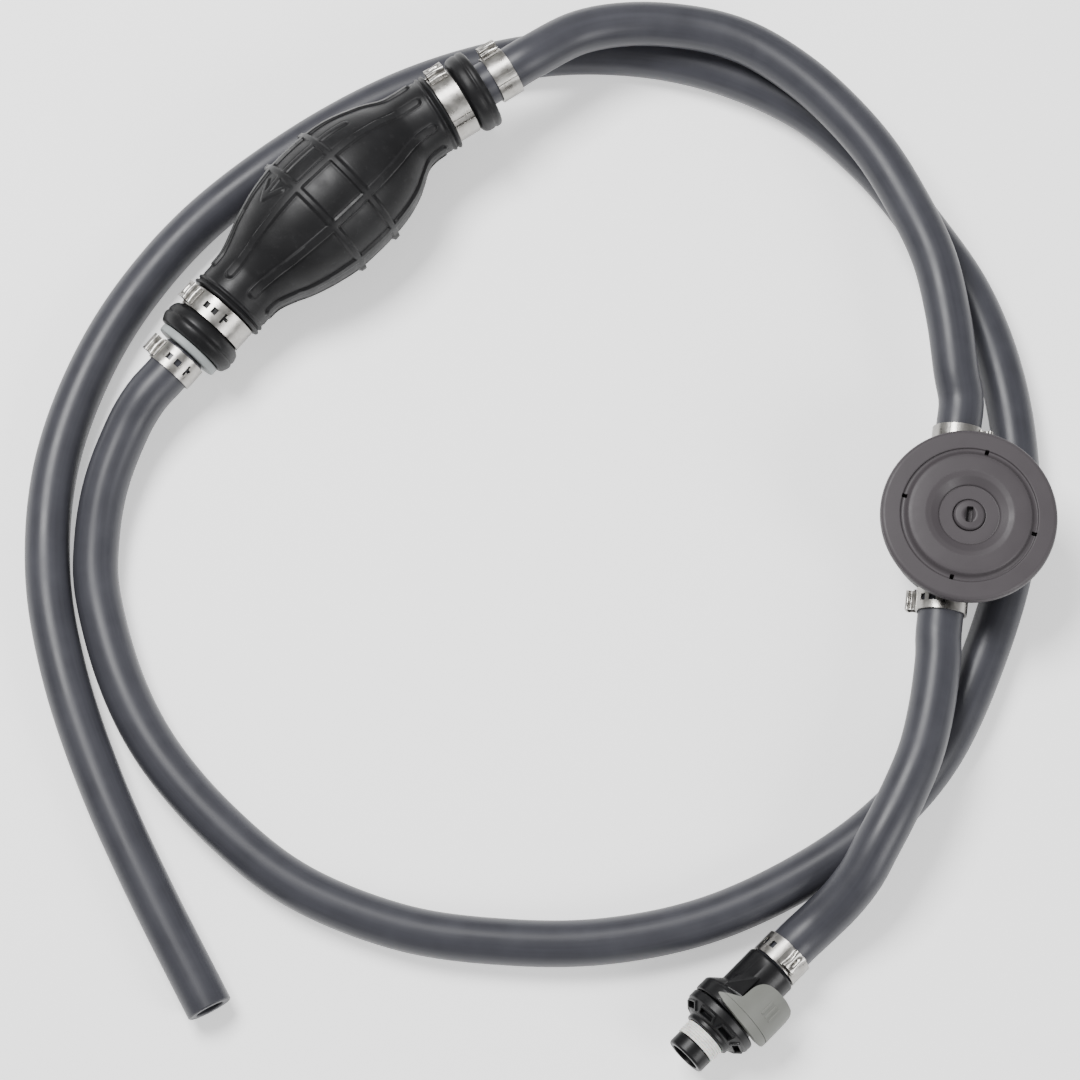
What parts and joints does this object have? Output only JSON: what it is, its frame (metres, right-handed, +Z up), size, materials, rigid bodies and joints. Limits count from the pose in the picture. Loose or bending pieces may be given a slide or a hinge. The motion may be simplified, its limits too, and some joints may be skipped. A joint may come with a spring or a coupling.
{
  "type": "siphon bulb pump",
  "caption": "Marine fuel line with a black rubber primer bulb, a round demand valve, a quick connector with a taped tank fitting, and a long hose with a bare cut end.",
  "frame": {"origin": "under the middle of the bulb, valve and connector, on the surface that the line lies on", "axes": "+Z up from that surface, +Y from the tank connector's side towards the bulb's side, +X towards the demand valve"},
  "size_m": [0.3591, 0.3818, 0.0513],
  "materials": {
    "bulb_rubber": "soft sheen",
    "hose_rubber": "semi-gloss",
    "black_plastic": "satin",
    "grey_plastic": "matte",
    "pale_plastic": "matte",
    "white_tape": "matte",
    "stainless": "satin",
    "seal_rubber": "matte"
  },
  "bodies": {
    "line": {"bulb_body": "bulb_rubber", "inlet_fitting": "pale_plastic", "inlet_spring": "stainless", "inlet_retainer": "black_plastic", "outlet_fitting": "pale_plastic", "outlet_seat": "black_plastic", "outlet_spring": "stainless", "bulb_clamp_outlet": "stainless", "bulb_clamp_inlet": "stainless", "hose_clamp_outlet": "stainless", "hose_clamp_inlet": "stainless", "valve_body": "black_plastic", "valve_cover": "grey_plastic", "valve_diaphragm": "seal_rubber", "valve_seat": "seal_rubber", "valve_spring": "stainless", "valve_rear_plug": "black_plastic", "valve_clamp_outlet": "stainless", "valve_clamp_inlet": "stainless", "connector_body": "black_plastic", "latch_spring": "stainless", "connector_seat": "seal_rubber", "connector_spring": "stainless", "connector_clamp": "stainless", "hose_bulb_to_engine": "hose_rubber", "hose_valve_to_bulb": "hose_rubber", "hose_connector_to_valve": "hose_rubber"},
    "bulb_wall": {"bulb_press_wall": "bulb_rubber"},
    "inlet_check": {"inlet_poppet": "black_plastic"},
    "outlet_check": {"outlet_poppet": "black_plastic"},
    "valve_stem": {"release_button": "grey_plastic", "diaphragm_plate": "stainless", "valve_poppet": "black_plastic"},
    "latch": {"connector_latch": "pale_plastic"},
    "fitting": {"tank_fitting": "black_plastic", "fitting_oring": "seal_rubber", "thread_tape": "white_tape"},
    "connector_check": {"connector_poppet": "black_plastic"}
  },
  "joints": [
    {"name": "bulb_squeeze", "type": "slide", "parent": "line", "child": "bulb_wall", "axis": [0.0588, 0.057, -0.9966], "range_m": [0, 0.01], "stiffness_N_per_m": 1500},
    {"name": "inlet_check_slide", "type": "slide", "parent": "line", "child": "inlet_check", "axis": [-0.8494, -0.5217, -0.08], "range_m": [0, 0.002], "stiffness_N_per_m": 100, "deforming": ["inlet_spring"]},
    {"name": "outlet_check_slide", "type": "slide", "parent": "line", "child": "outlet_check", "axis": [-0.6523, -0.7535, -0.0816], "range_m": [0, 0.002], "stiffness_N_per_m": 100, "deforming": ["outlet_spring"]},
    {"name": "valve_button_press", "type": "slide", "parent": "line", "child": "valve_stem", "axis": [0, 0, -1], "range_m": [0, 0.002], "stiffness_N_per_m": 800, "deforming": ["valve_diaphragm", "valve_spring"]},
    {"name": "latch_press", "type": "slide", "parent": "line", "child": "latch", "axis": [-0.7071, 0.7071, 0], "range_m": [0, 0.002], "stiffness_N_per_m": 600, "deforming": ["latch_spring"]},
    {"name": "fitting_pull_off", "type": "slide", "parent": "line", "child": "fitting", "axis": [-0.7061, -0.7061, 0.0523], "range_m": [0, 0.03]},
    {"name": "connector_check_slide", "type": "slide", "parent": "line", "child": "connector_check", "axis": [0.7061, 0.7061, -0.0523], "range_m": [0, 0.002], "stiffness_N_per_m": 100, "deforming": ["connector_spring"]}
  ]
}
